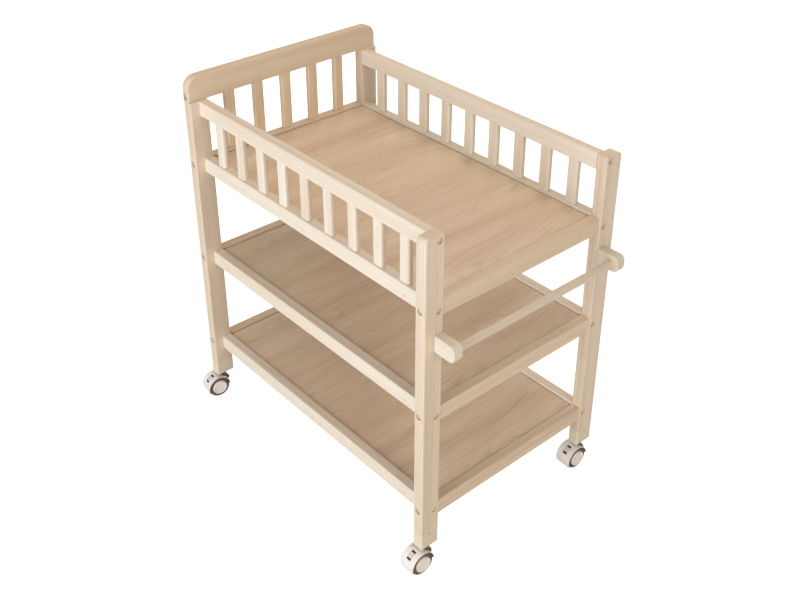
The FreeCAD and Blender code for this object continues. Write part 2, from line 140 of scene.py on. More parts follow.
SAWN_SWAY = Streaks(1.6, 9.0)
SAWN_TONE = Streaks(0.9, 26.0)
SAWN_FIBRE = Streaks(14.0, 620.0, 3.0)
SLICED_SWAY = Streaks(1.5, 6.0)
SLICED_RIPPLE = Streaks(10.0, 80.0)
SLICED_TONE = Streaks(1.6, 15.0, 3.0)
SLICED_FIBRE = Streaks(9.0, 330.0, 4.0)
CHEVRON_PATCH = Streaks(4.0, 24.0, 1.0)
FLAME_PATCH = Streaks(2.6, 11.0)
RING_RISE = (0.15, 0.88)       # where in a growth ring its dark part comes
RING_FALL = (0.92, 1.0)        # and goes
WEAKEST_RING = 0.15
PITH_DEPTH = 0.023             # how far below a sawn board's middle its pith lies
FLAME_DRIFT = 0.16
FLAME_CROWN = 0.024
FLAME_SLACK = 0.02
RIPPLE_DEPTH = 0.0024
FAINTEST_FLAME = 0.28
CHEVRON_SLOPE = 0.16
CHEVRON_RING = 0.012
RUB_CELLS = (160.0, 60.0, 90.0)
WEAR_CELLS = (55.0, 55.0, 55.0)
WEAR_ROUGHNESS = 0.12          # what a worn edge adds to the lacquer's roughness
PORE_DEPTH = 0.00012


class Graph:
    """Places and joins nodes in one shader tree."""

    def __init__(self, tree: bpy.types.NodeTree) -> None:
        """Takes a material's, world's or group's node tree to fill."""
        self.tree = tree

    def node(self, kind: str, values: Values | None = None, **settings: object) -> Node:
        """Adds a node.

        Args:
            kind: The node's type name, without its ShaderNode prefix.
            values: What goes into its inputs.
            **settings: Properties to set on it.

        Returns:
            The new node.
        """
        made = self.tree.nodes.new("ShaderNode" + kind)
        for name, value in settings.items():
            setattr(made, name, value)
        self.fill(made, values or {})
        return made

    def fill(self, node: Node, values: Values) -> None:
        """Joins sockets to a node's inputs, or writes plain values there.

        Args:
            node: The node.
            values: Sockets, numbers or tuples by an input's name or number.
        """
        for key, value in values.items():
            if isinstance(value, Socket):
                self.tree.links.new(value, node.inputs[key])
            else:
                node.inputs[key].default_value = value

    def math(self, operation: str, first: object, *others: object) -> Socket:
        """Adds a Math node for each further value, one after another.

        Args:
            operation: Name of the sum, such as ADD.
            first: First number or socket.
            *others: The numbers or sockets that follow, if the sum takes more than one.

        Returns:
            The result's socket.
        """
        for other in others or (0.0,):
            first = self.node("Math", {0: first, 1: other}, operation=operation).outputs[0]
        return first

    def plus(self, *values: object) -> Socket:
        """Adds numbers or sockets together."""
        return self.math("ADD", *values)

    def times(self, *values: object) -> Socket:
        """Multiplies numbers or sockets."""
        return self.math("MULTIPLY", *values)

    def vector(self, operation: str, *values: object, output: str = "Vector") -> Socket:
        """Adds a Vector Math node and gives one of its outputs."""
        return self.node("VectorMath", dict(enumerate(values)), operation=operation).outputs[output]

    def split(self, vector: Socket) -> list[Socket]:
        """Takes a vector or a colour apart."""
        return list(self.node("SeparateXYZ", {0: vector}).outputs)

    def spread(self, value: Socket, low: float, high: float, to_low: float = 0.0, to_high: float = 1.0,
               kind: str = "SMOOTHSTEP") -> Socket:
        """Maps a range of values to another, easing in and out."""
        values = {"Value": value, "From Min": low, "From Max": high, "To Min": to_low, "To Max": to_high}
        return self.node("MapRange", values, interpolation_type=kind).outputs["Result"]

    def ramp(self, value: Socket, low: float, high: float, to_low: float, to_high: float) -> Socket:
        """Maps a range of values to another in a straight line."""
        return self.spread(value, low, high, to_low, to_high, "LINEAR")

    def noise(self, vector: Socket, cells: object, detail: float, output: str = "Fac") -> Socket:
        """Adds a noise texture with so many cells in a metre on each axis, and gives one of its outputs."""
        values = {"Vector": self.vector("MULTIPLY", vector, cells), "Scale": 1.0, "Detail": detail}
        return self.node("TexNoise", values).outputs[output]

    def streaks(self, vector: Socket, kind: Streaks, output: str = "Fac") -> Socket:
        """Adds a noise texture that is drawn out along X."""
        return self.noise(vector, (kind.along, kind.across, kind.across), kind.detail, output)

    def chance(self, value: Socket) -> Socket:
        """Draws a random number from 0 to 1 for each value."""
        return self.node("TexWhiteNoise", {"W": value}, noise_dimensions="1D").outputs["Value"]

    def mix(self, factor: Socket, first: object, second: object) -> Socket:
        """Mixes two colours, with the factor as the second one's share."""
        return self.node("Mix", {0: factor, 6: first, 7: second}, data_type="RGBA").outputs[2]

    def bump(self, height: Socket, depth: float, strength: float = 1.0) -> Socket:
        """Turns a height into a normal, with its depth in metres."""
        return self.node("Bump", {"Strength": strength, "Distance": depth, "Height": height}).outputs["Normal"]


class Effect:
    """A shader node group with named inputs and outputs, built once and placed where it is needed."""

    def __init__(self, name: str, inputs: Sequence[str], fill: Callable[[Graph, Sockets], Sockets]) -> None:
        """Builds the group.

        Args:
            name: The group's name.
            inputs: Names of its inputs: a vector, and then numbers.
            fill: Function that adds the nodes and gives each output's socket by name.
        """
        self.tree = bpy.data.node_groups.new(name, "ShaderNodeTree")
        add = self.tree.interface.new_socket
        for label in inputs:
            kind = "Vector" if label == inputs[0] else "Float"
            add(label, in_out="INPUT", socket_type="NodeSocket" + kind)
        graph = Graph(self.tree)
        start = self.tree.nodes.new("NodeGroupInput")
        values = fill(graph, {label: start.outputs[label] for label in inputs})
        for label in values:
            add(label, in_out="OUTPUT", socket_type="NodeSocketFloat")
        graph.fill(self.tree.nodes.new("NodeGroupOutput"), values)

    def place(self, graph: Graph, *values: object) -> Sockets:
        """Puts the group in a tree, with its inputs' values in order, and gives its outputs by name."""
        made = graph.node("Group", dict(enumerate(values)), node_tree=self.tree)
        return {socket.name: socket for socket in made.outputs}


def late_wood(graph: Graph, rings: Socket, seed: float) -> Socket:
    """Dark summer wood of growth rings: a slow rise, a sharp end, and a strength that differs ring by ring.

    Args:
        graph: The group's tree.
        rings: Socket with the number of rings passed.
        seed: Shifts the choice of strengths.

    Returns:
        The late wood's socket.
    """
    part = graph.math("FRACT", rings)
    rise = graph.spread(part, *RING_RISE)
    fall = graph.spread(part, *RING_FALL, 1.0, 0.0)
    chance = graph.chance(graph.plus(graph.math("FLOOR", rings), seed))
    return graph.times(rise, fall, graph.ramp(chance, 0.0, 1.0, WEAKEST_RING, 1.0))


def fill_sawn_figure(graph: Graph, given: Sockets) -> Sockets:
    """Growth rings of a sawn board: cylinders about a pith that lies outside it.

    Args:
        graph: The group's tree.
        given: Grain (position, with X along the grain), Ring Width, Wander and Pith.

    Returns:
        Late (dark summer wood), Fibre, Tone and Height.
    """
    grain = given["Grain"]
    parts = graph.split(grain)
    slow = graph.split(graph.streaks(grain, SAWN_SWAY, "Color"))
    sway = [graph.times(graph.math("SUBTRACT", part, 0.5), given["Wander"]) for part in slow[:2]]
    across = graph.plus(parts[1], given["Pith"], sway[0])
    deep = graph.plus(parts[2], PITH_DEPTH, sway[1])
    squares = [graph.times(leg, leg) for leg in (across, deep)]
    reach = graph.math("SQRT", graph.plus(*squares))
    late = late_wood(graph, graph.math("DIVIDE", reach, given["Ring Width"]), 0.0)
    fibre = graph.streaks(grain, SAWN_FIBRE)
    height = graph.plus(graph.times(fibre, 0.6), graph.times(late, 0.4))
    return {"Late": late, "Fibre": fibre, "Tone": graph.streaks(grain, SAWN_TONE), "Height": height}


def fill_sliced_figure(graph: Graph, given: Sockets) -> Sockets:
    """Cathedral figure of flat-sliced board: long flames side by side, with short chevrons in places.

    Args:
        graph: The group's tree.
        given: Grain (position, with X along the grain), Ring Width, Flame Width and Tilt.

    Returns:
        Late, Fibre, Tone and Height.
    """
    grain = given["Grain"]
    along, across, _ = graph.split(grain)
    slow = graph.split(graph.streaks(grain, SLICED_SWAY, "Color"))
    drift = graph.times(graph.math("SUBTRACT", slow[0], 0.5), FLAME_DRIFT)
    turn = graph.math("DIVIDE", graph.plus(across, drift), given["Flame Width"])
    crown = graph.times(graph.math("COSINE", graph.times(turn, math.tau)), FLAME_CROWN)
    ripple = graph.streaks(grain, SLICED_RIPPLE)
    depth = graph.plus(crown, graph.times(along, given["Tilt"]),
                       graph.times(slow[1], FLAME_SLACK), graph.times(ripple, RIPPLE_DEPTH))
    flames = late_wood(graph, graph.math("DIVIDE", depth, given["Ring Width"]), 3.0)

    side = graph.math("ABSOLUTE", graph.math("SUBTRACT", graph.math("FRACT", turn), 0.5))
    point = graph.plus(along, graph.times(side, CHEVRON_SLOPE), ripple)
    chevrons = late_wood(graph, graph.math("DIVIDE", point, CHEVRON_RING), 7.0)
    patch = graph.spread(graph.streaks(grain, CHEVRON_PATCH), 0.56, 0.68)
    clear = graph.spread(graph.streaks(grain, FLAME_PATCH), 0.44, 0.64, FAINTEST_FLAME, 1.0)
    late = graph.math("MAXIMUM", graph.times(flames, clear), graph.times(chevrons, patch))
    fibre = graph.streaks(grain, SLICED_FIBRE)
    height = graph.plus(graph.times(fibre, 0.5), graph.times(late, 0.5))
    return {"Late": late, "Fibre": fibre, "Tone": graph.streaks(grain, SLICED_TONE), "Height": height}


def fill_moulding(graph: Graph, given: Sockets) -> Sockets:
    """Fine skin of a moulded or painted piece, with faint rub marks.

    Args:
        graph: The group's tree.
        given: Place (position) and Grain Size.

    Returns:
        Skin and Rub.
    """
    skin = graph.noise(given["Place"], graph.math("DIVIDE", 1.0, given["Grain Size"]), 2.0)
    rub = graph.spread(graph.noise(given["Place"], RUB_CELLS, 4.0), 0.42, 0.72)
    return {"Skin": skin, "Rub": rub}


def fill_edge(graph: Graph, given: Sockets) -> Sockets:
    """Handled edges: where the surface turns within a short distance, broken up in patches.

    Args:
        graph: The group's tree.
        given: Place (position) and Width (of the worn strip).

    Returns:
        Wear.
    """
    eased = graph.node("Bevel", {"Radius": given["Width"]}, samples=3).outputs[0]
    flat = graph.node("NewGeometry").outputs["True Normal"]
    match = graph.vector("DOT_PRODUCT", eased, flat, output="Value")
    turned = graph.spread(match, 0.80, 0.995, 1.0, 0.0)
    patches = graph.spread(graph.noise(given["Place"], WEAR_CELLS, 3.0), 0.35, 0.62, 0.25, 1.0)
    return {"Wear": graph.times(turned, patches)}


class Effects:
    """The shader groups that several finishes share."""

    def __init__(self) -> None:
        """Builds each group once."""
        self.sawn = Effect("sawn_figure", ("Grain", "Ring Width", "Wander", "Pith"), fill_sawn_figure)
        self.sliced = Effect("sliced_figure", ("Grain", "Ring Width", "Flame Width", "Tilt"), fill_sliced_figure)
        self.moulding = Effect("moulding", ("Place", "Grain Size"), fill_moulding)
        self.edge = Effect("edge_wear", ("Place", "Width"), fill_edge)


def new_material(name: str) -> tuple[Material, Graph, Node]:
    """Starts a material.

    Args:
        name: The material's name.

    Returns:
        The material, its graph and its Principled BSDF node.
    """
    made = bpy.data.materials.new(name)
    made.use_nodes = True
    return made, Graph(made.node_tree), made.node_tree.nodes["Principled BSDF"]


@dataclass(frozen=True)
class WoodFinish:
    """Clear matt lacquer on wood, darker where its late wood, its tone and its fibre are."""

    name: str
    grain: Axis
    pale: Bytes = (240, 234, 222)
    dark: Bytes = (206, 180, 150)
    ring_width: float = 0.0042
    late: float = 0.27
    tone: Pair = (-0.14, 0.16)
    fibre: float = 0.07
    rough: Pair = (0.52, 0.42)
    specular: float = 0.4
    worn_width: float = 0.0016

    def figure(self, graph: Graph, effects: Effects, grain: Socket) -> tuple[Sockets, object]:
        """Gives the figure's outputs and how dark the plain wood is; each kind of board has its own."""
        raise NotImplementedError

    def cover(self, graph: Graph, wood: Socket, wear: Socket) -> Socket:
        """Lays a second colour over the wood; each kind of board has its own."""
        raise NotImplementedError

    def build(self, effects: Effects) -> Material:
        """Makes the material.

        Args:
            effects: The shared shader groups.

        Returns:
            The material.
        """
        made, graph, shader = new_material(self.name)
        parts = graph.split(graph.node("TexCoord").outputs["Object"])
        turned = {place: parts[number] for place, number in enumerate(self.grain.value)}
        grain = graph.node("CombineXYZ", turned).outputs[0]
        figure, plain = self.figure(graph, effects, grain)
        wear = effects.edge.place(graph, grain, self.worn_width)["Wear"]
        tone = graph.ramp(figure["Tone"], 0.3, 0.7, *self.tone)
        fibre = graph.ramp(figure["Fibre"], 0.35, 0.65, -self.fibre, self.fibre)
        share = graph.plus(graph.times(figure["Late"], self.late), tone, fibre, plain)
        share.node.use_clamp = True
        wood = graph.mix(share, srgb(self.pale), srgb(self.dark))
        rough = graph.spread(figure["Late"], 0.0, 1.0, *self.rough)
        graph.fill(shader, {
            "Base Color": self.cover(graph, wood, wear), "Specular IOR Level": self.specular,
            "Roughness": graph.plus(rough, graph.times(wear, WEAR_ROUGHNESS)),
            "Normal": graph.bump(figure["Height"], PORE_DEPTH, 0.5)})
        return made


@dataclass(frozen=True)
class PineFinish(WoodFinish):
    """Solid pine with worn edges; where one node holds many slats, each has a figure of its own."""

    worn: Bytes = (212, 186, 154)
    worn_share: float = 0.5
    wander: float = 0.016
    cells: Pair | None = None
    cut_apart: float = 9.0
    pith: Pair = (-0.35, 0.45)
    plain: Pair = (0.12, 0.24)

    def figure(self, graph: Graph, effects: Effects, grain: Socket) -> tuple[Sockets, object]:
        """Sawn figure, for each board from another place in the log.

        Args:
            graph: The material's graph.
            effects: The shared shader groups.
            grain: Position, with X along the grain.

        Returns:
            The figure's outputs, and how dark the plain wood is.
        """
        luck = graph.node("ObjectInfo").outputs["Random"]
        if self.cells:
            spacing, start = self.cells
            place = graph.math("DIVIDE", graph.math("SUBTRACT", graph.split(grain)[1], start), spacing)
            luck = graph.chance(graph.plus(graph.math("FLOOR", place), luck))
        moved = graph.vector("MULTIPLY_ADD", luck, (self.cut_apart, 0.0, 0.0), grain)
        pith = graph.ramp(luck, 0.0, 1.0, *self.pith)
        figure = effects.sawn.place(graph, moved, self.ring_width, self.wander, pith)
        return figure, graph.ramp(luck, 0.0, 1.0, *self.plain)

    def cover(self, graph: Graph, wood: Socket, wear: Socket) -> Socket:
        """Darkens the worn edges."""
        return graph.mix(graph.times(wear, self.worn_share), wood, srgb(self.worn))


@dataclass(frozen=True)
class BoardFinish(WoodFinish):
    """Sliced pine board with a cathedral figure, and its sideways faces painted dark as shade of the gap around each
    panel.
    """

    pale: Bytes = (233, 216, 194)
    dark: Bytes = (188, 160, 133)
    ring_width: float = 0.0045
    late: float = 0.40
    tone: Pair = (-0.22, 0.22)
    fibre: float = 0.12
    rough: Pair = (0.55, 0.46)
    specular: float = 0.35
    worn_width: float = 0.002
    # colour of the sideways faces: painted shade of the gap around each panel
    gap_shade: Bytes = (96, 70, 50)
    flame_width: float = 0.19
    tilt: float = 0.06
    plain: float = 0.20

    def figure(self, graph: Graph, effects: Effects, grain: Socket) -> tuple[Sockets, object]:
        """Gives the sliced figure's outputs, and how dark the plain wood is."""
        return effects.sliced.place(graph, grain, self.ring_width, self.flame_width, self.tilt), self.plain

    def cover(self, graph: Graph, wood: Socket, wear: Socket) -> Socket:
        """Paints shade on the faces that look sideways, which sit in the gap around each panel.

        Args:
            graph: The material's graph.
            wood: The wood's colour.
            wear: The worn edges, which keep their colour here.

        Returns:
            The colour's socket.
        """
        up = graph.split(graph.node("TexCoord").outputs["Normal"])[2]
        side = graph.spread(graph.math("ABSOLUTE", up), 0.80, 0.97, 1.0, 0.0)
        return graph.mix(side, wood, srgb(self.gap_shade))


@dataclass(frozen=True)
class MouldedFinish:
    """Moulded plastic, rubber or painted steel."""

    name: str
    colour: Bytes
    rubbed: Bytes
    roughness: float = 0.4
    rub_roughness: float = 0.5
    grain_size: float = 0.0005
    grain_depth: float = 0.00004
    metallic: float = 0.0
    rub_share: float = 0.5
    mottle: float = 0.25
    worn_width: float = 0.0005

    def build(self, effects: Effects) -> Material:
        """Makes the material.

        Args:
            effects: The shared shader groups.

        Returns:
            The material.
        """
        made, graph, shader = new_material(self.name)
        place = graph.node("TexCoord").outputs["Object"]
        skin = effects.moulding.place(graph, place, self.grain_size)
        wear = effects.edge.place(graph, place, self.worn_width)["Wear"]
        rub = graph.math("MAXIMUM", skin["Rub"], wear)
        mottle = graph.ramp(skin["Skin"], 0.3, 0.7, 0.0, self.mottle)
        share = graph.plus(graph.times(rub, self.rub_share), mottle)
        share.node.use_clamp = True
        graph.fill(shader, {
            "Base Color": graph.mix(share, srgb(self.colour), srgb(self.rubbed)), "Metallic": self.metallic,
            "Roughness": graph.spread(rub, 0.0, 1.0, self.roughness, self.rub_roughness),
            "Normal": graph.bump(skin["Skin"], self.grain_depth)})
        return made


class Finishes:
    """Every material of the trolley."""

    def __init__(self, guard: Pair, end: Pair) -> None:
        """Builds the materials.

        Args:
            guard: Spacing of the guard slats, and the middle of the gap before the first.
            end: The same for the headboard slats.
        """
        effects = Effects()
        self.along = PineFinish("pine_along_x", Axis.X).build(effects)
        self.across = PineFinish("pine_across", Axis.Y, (230, 217, 197), (194, 164, 131)).build(effects)
        self.post = PineFinish("pine_post", Axis.Z, (232, 221, 206), (193, 163, 131), 0.0050).build(effects)
        self.guard_slat = PineFinish("pine_guard_slat", Axis.Z, cells=guard).build(effects)
        self.end_slat = PineFinish("pine_end_slat", Axis.Z, (234, 217, 192), (196, 164, 131),
                                   cells=end).build(effects)
        self.block = PineFinish("pine_foot_block", Axis.Z, (231, 222, 203), (210, 198, 165), 0.0028).build(effects)
        self.bar = PineFinish("pine_bar", Axis.Y, (224, 214, 200), (194, 173, 150)).build(effects)
        self.bracket = PineFinish("pine_bracket", Axis.X, (230, 224, 212), (202, 182, 156)).build(effects)
        self.board = BoardFinish("sliced_board", Axis.Y).build(effects)
        self.steel = MouldedFinish("zinc_plate", (190, 190, 186), (160, 160, 156), 0.3, 0.42,
                                   metallic=1.0).build(effects)
        self.grey = MouldedFinish("grey_nylon", (112, 101, 84), (90, 80, 66), 0.42, 0.55).build(effects)
        # near-black sheet inside the hood and over the tyre tops: painted shade for the shadow under the hood and
        # its rims
        self.lining = MouldedFinish("lining_nylon", (54, 44, 36), (68, 57, 48), 0.6, 0.7).build(effects)
        self.white = MouldedFinish("hood_plastic", (240, 239, 238), (231, 229, 226), 0.32, 0.42,
                                   grain_depth=0.00002).build(effects)
        self.hub = MouldedFinish("hub_plastic", (245, 241, 237), (238, 231, 225), 0.36, 0.46,
                                 grain_depth=0.00002).build(effects)
        self.beige = MouldedFinish("lever_plastic", (228, 215, 199), (212, 198, 180)).build(effects)
        self.tyre = MouldedFinish("tyre_rubber", (112, 90, 74), (132, 109, 92), 0.62, 0.75, 0.0007,
                                  0.00008).build(effects)
        self.screw = MouldedFinish("screw_paint", (230, 214, 190), (214, 194, 167), 0.34, 0.46,
                                   grain_depth=0.00003).build(effects)


# ---------------------------------------------------------------- meshes
BEVEL_STEPS = 2
SHARP_ANGLE = 40.0             # edges of a new piece that turn by more stay sharp, in degrees
EASED_ANGLE = 30.0             # edges of a new piece that turn by more are eased
CAD_EASED_ANGLE = 18.0         # the same on a CAD node
WELD_GAP = 2e-5
SAME_PLACE = 1e-5
NO_RADIUS = 1e-7
SWAP_XY = Matrix(((0, 1, 0, 0), (1, 0, 0, 0), (0, 0, 1, 0), (0, 0, 0, 1)))


def even(start: float, end: float, steps: int) -> list[float]:
    """Places from a start to an end in even steps."""
    return [start + (end - start) * number / steps for number in range(steps + 1)]


def facing(direction: Vector) -> Matrix:
    """Turn that takes the Z axis to a direction."""
    return direction.to_track_quat("Z", "Y").to_matrix().to_4x4()


def add_object(name: str, data: bpy.types.ID) -> bpy.types.Object:
    """Puts a mesh, lamp or camera in the scene.

    Args:
        name: The object's name.
        data: Its mesh, lamp or camera.

    Returns:
        The new object.
    """
    made = bpy.data.objects.new(name, data)
    bpy.context.scene.collection.objects.link(made)
    return made


class Maker:
    """Collects closed shapes and turns them into one piece."""

    def __init__(self) -> None:
        """Starts with nothing."""
        self.mesh = bmesh.new()

    def lathe(self, profile: Sequence[Pair], place: Matrix, steps: int = 48) -> None:
        """Turns a profile about the place's Z axis.

        Args:
            profile: (distance along the axis, radius) pairs from one end to the other.
            place: Matrix from the profile's frame.
            steps: Faces round the axis.
        """
        rings = []
        for along, radius in profile:
            ring = []
            for number in range(steps if radius > NO_RADIUS else 1):
                angle = math.tau * number / steps
                spot = Vector((radius * math.cos(angle), radius * math.sin(angle), along))
                ring.append(self.mesh.verts.new(place @ spot))
            rings.append(ring)
        for low, high in zip(rings, rings[1:]):
            for number in range(steps):
                after = (number + 1) % steps
                self.face([low[number % len(low)], low[after % len(low)], high[after % len(high)],
                           high[number % len(high)]])

    def face(self, corners: Sequence[Vert]) -> None:
        """Adds a face, leaving out corners that come twice.

        Args:
            corners: Its corners in order.
        """
        kept = [corner for number, corner in enumerate(corners) if corner not in corners[:number]]
        if len(kept) > 2:
            self.mesh.faces.new(kept)

    def slab(self, outline: Sequence[Pair], low: float, high: float, place: Matrix) -> None:
        """Raises an outline in the YZ plane along X.

        Args:
            outline: (y, z) points in order.
            low: X of one side.
            high: X of the other.
            place: Matrix from the outline's frame.
        """
        sides = [[self.mesh.verts.new(place @ Vector((x, y, z))) for y, z in outline] for x in (low, high)]
        self.mesh.faces.new(sides[0])
        self.mesh.faces.new(list(reversed(sides[1])))
        for number in range(len(outline)):
            after = (number + 1) % len(outline)
            self.mesh.faces.new((sides[0][number], sides[1][number], sides[1][after], sides[0][after]))

    def shell(self, angles: Sequence[float], columns: Sequence[float], inner: Radius, outer: Radius,
              at: Callable[[float, float, float], Vector],
              keep: Callable[[float, float], bool] = lambda degrees, x: True) -> None:
        """Curved wall about an axle, with openings.

        Args:
            angles: Grid angles in degrees.
            columns: Grid places along the axle.
            inner: Inner radius at an angle and a place.
            outer: Outer radius at an angle and a place.
            at: Point from a radius, an angle and a place.
            keep: Whether the cell with that middle angle and place is there.
        """
        def cell(row: int, column: int) -> bool:
            """Whether a cell is inside the grid and kept."""
            if not (0 <= row < len(angles) - 1 and 0 <= column < len(columns) - 1):
                return False
            return keep((angles[row] + angles[row + 1]) / 2, (columns[column] + columns[column + 1]) / 2)

        found: dict[tuple[int, int, bool], Vert] = {}

        def spot(row: int, column: int, outside: bool) -> Vert:
            """Vertex of a grid point on one skin."""
            key = (row, column, outside)
            if key not in found:
                radius = (outer if outside else inner)(angles[row], columns[column])
                found[key] = self.mesh.verts.new(at(radius, angles[row], columns[column]))
            return found[key]

        for row in range(len(angles) - 1):
            for column in range(len(columns) - 1):
                if not cell(row, column):
                    continue
                ring = [(row, column), (row + 1, column), (row + 1, column + 1), (row, column + 1)]
                self.face([spot(*point, True) for point in ring])
                self.face([spot(*point, False) for point in reversed(ring)])
                beside = [(row, column - 1), (row + 1, column), (row, column + 1), (row - 1, column)]
                for number, neighbour in enumerate(beside):
                    if not cell(*neighbour):
                        first, second = ring[number], ring[(number + 1) % 4]
                        self.face([spot(*first, True), spot(*first, False), spot(*second, False),
                                   spot(*second, True)])

    def piece(self, name: str, material: Material, body: str, replaced: Sequence[str] = (),
              bevel: float = 0.0) -> None:
        """Makes the object and ties it to its body.

        Args:
            name: The piece's name.
            material: Its finish.
            body: The body that it rides on.
            replaced: CAD nodes that it stands for.
            bevel: Width of the eased edges, or 0 for none.
        """
        bmesh.ops.recalc_face_normals(self.mesh, faces=self.mesh.faces)
        data = bpy.data.meshes.new(name)
        self.mesh.to_mesh(data)
        self.mesh.free()
        data.shade_smooth()
        data.set_sharp_from_angle(angle=math.radians(SHARP_ANGLE))
        data.materials.append(material)
        made = add_object(name, data)
        if bevel:
            add_bevel(made, bevel, EASED_ANGLE)
        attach(made, body)
        if replaced:
            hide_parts(*replaced)
        log.info("piece %s on %s", name, body)


def add_bevel(thing: bpy.types.Object, width: float, angle: float) -> None:
    """Eases an object's sharp edges.

    Args:
        thing: The object.
        width: Width of the easing.
        angle: Only edges that turn by more than this, in degrees.
    """
    bevel = thing.modifiers.new("eased_edges", "BEVEL")
    bevel.width = width
    bevel.segments = BEVEL_STEPS
    bevel.limit_method = "ANGLE"
    bevel.angle_limit = math.radians(angle)
    bevel.harden_normals = True


def dress(node: str, material: Material, edge: float = 0.0) -> None:
    """Gives a CAD node its finish and, where asked, softer edges.

    Args:
        node: The node's name.
        material: Its finish.
        edge: Width of the easing on its sharp edges.
    """
    thing = frame["nodes"][node]
    for slot in thing.material_slots:
        slot.link = "OBJECT"
        slot.material = material
    if edge:
        thing.modifiers.new("weld", "WELD").merge_threshold = WELD_GAP
        add_bevel(thing, edge, CAD_EASED_ANGLE)
    log.info("node %s dressed with %s", node, material.name)


def islands(node: str) -> list[list[Vector]]:
    """Points of each separate solid in a CAD node.

    Args:
        node: The node's name.

    Returns:
        One list of points for each solid.
    """
    mesh = bmesh.new()
    mesh.from_mesh(frame["nodes"][node].data)
    bmesh.ops.remove_doubles(mesh, verts=mesh.verts, dist=SAME_PLACE)
    left = set(mesh.verts)
    groups = []
    while left:
        start = left.pop()
        group, edge = [start], [start]
        while edge:
            for link in edge.pop().link_edges:
                for other in link.verts:
                    if other in left:
                        left.remove(other)
                        group.append(other)
                        edge.append(other)
        groups.append([vert.co.copy() for vert in group])
    mesh.free()
    groups.sort(key=lambda points: tuple(round(sum(p[i] for p in points) / len(points), 4) for i in range(3)))
    return groups


@dataclass(frozen=True)
class Spot:
    """Where a screw sits: the middle of its head's face, the way in, its length and its head's radius."""

    head: Vector
    inward: Vector
    length: float
    radius: float

    @classmethod
    def of(cls, points: list[Vector]) -> "Spot":
        """Reads the place from a solid's points.

        Args:
            points: The solid's points.

        Returns:
            The screw's place.
        """
        low, high = [Vector([pick(p[i] for p in points) for i in range(3)]) for pick in (min, max)]
        size = high - low
        axis = max(range(3), key=lambda i: size[i])
        middle = (low + high) / 2

        def reach(end: float) -> float:
            """Widest distance from the axis among the points at one end."""
            near = [p - middle for p in points if abs(p[axis] - end) < 1e-4]
            return max(math.hypot(*[p[i] for i in range(3) if i != axis]) for p in near)

        at_low, at_high = reach(low[axis]), reach(high[axis])
        head, inward = middle.copy(), Vector((0, 0, 0))
        head[axis] = low[axis] if at_low >= at_high else high[axis]
        inward[axis] = 1 if at_low >= at_high else -1
        return cls(head, inward, size[axis], max(at_low, at_high))

    def matrix(self) -> Matrix:
        """Matrix whose Z axis points out of the head."""
        return Matrix.Translation(self.head) @ facing(-self.inward)


# ---------------------------------------------------------------- boards
@dataclass
class Woodwork:
    """Posts, rails, slats, panels, headboard and towel bar, which keep their CAD shapes, and the bar's brackets."""

    finishes: Finishes
    board_edge: float = 0.0007
    panel_edge: float = 0.0011
    bracket_corner: float = 0.0138
    bracket_edge: float = 0.0018
    bracket_steps: int = 10

    def dress(self) -> None:
        """Dresses each board with pine or board that runs its own way."""
        finishes = self.finishes
        levels, sides, ends = ("deck", "middle_shelf", "bottom_shelf"), ("front", "back"), ("head", "foot")
        rows = (
            (finishes.post, ["post_" + corner for corner in CORNERS]),
            (finishes.block, ["foot_blocks"]),
            (finishes.along, [f"{level}_{side}_rail" for level in levels for side in sides]),
            (finishes.along, ["guard_rail_" + side for side in sides] + ["panel_cleats"]),
            (finishes.across, [f"{level}_{end}_rail" for level in levels for end in ends] + ["headboard_rail"]),
            (finishes.guard_slat, ["guard_slats_" + side for side in sides]),
            (finishes.end_slat, ["headboard_slats"]))
        for material, nodes in rows:
            for node in nodes:
                dress(node, material, self.board_edge)
        for level in levels:
            dress(level + "_panel", finishes.board, self.panel_edge)
        for side in sides:
            self.build_bracket(side)
        dress("towel_bar", finishes.bar)

    def build_bracket(self, side: str) -> None:
        """Makes a towel bracket with round outer corners and well eased edges.

        Args:
            side: front or back.
        """
        node = "towel_bracket_" + side
        low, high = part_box(node)
        radius = self.bracket_corner
        outline = [(low.x, high.z), (low.x, low.z)]
        for middle, start in ((low.z + radius, -90.0), (high.z - radius, 0.0)):
            for degrees in even(start, start + 90.0, self.bracket_steps):
                angle = math.radians(degrees)
                outline.append((high.x - radius + radius * math.cos(angle), middle + radius * math.sin(angle)))
        maker = Maker()
        maker.slab(outline, low.y, high.y, SWAP_XY)
        maker.piece("bracket_" + side, self.finishes.bracket, "frame", [node], bevel=self.bracket_edge)


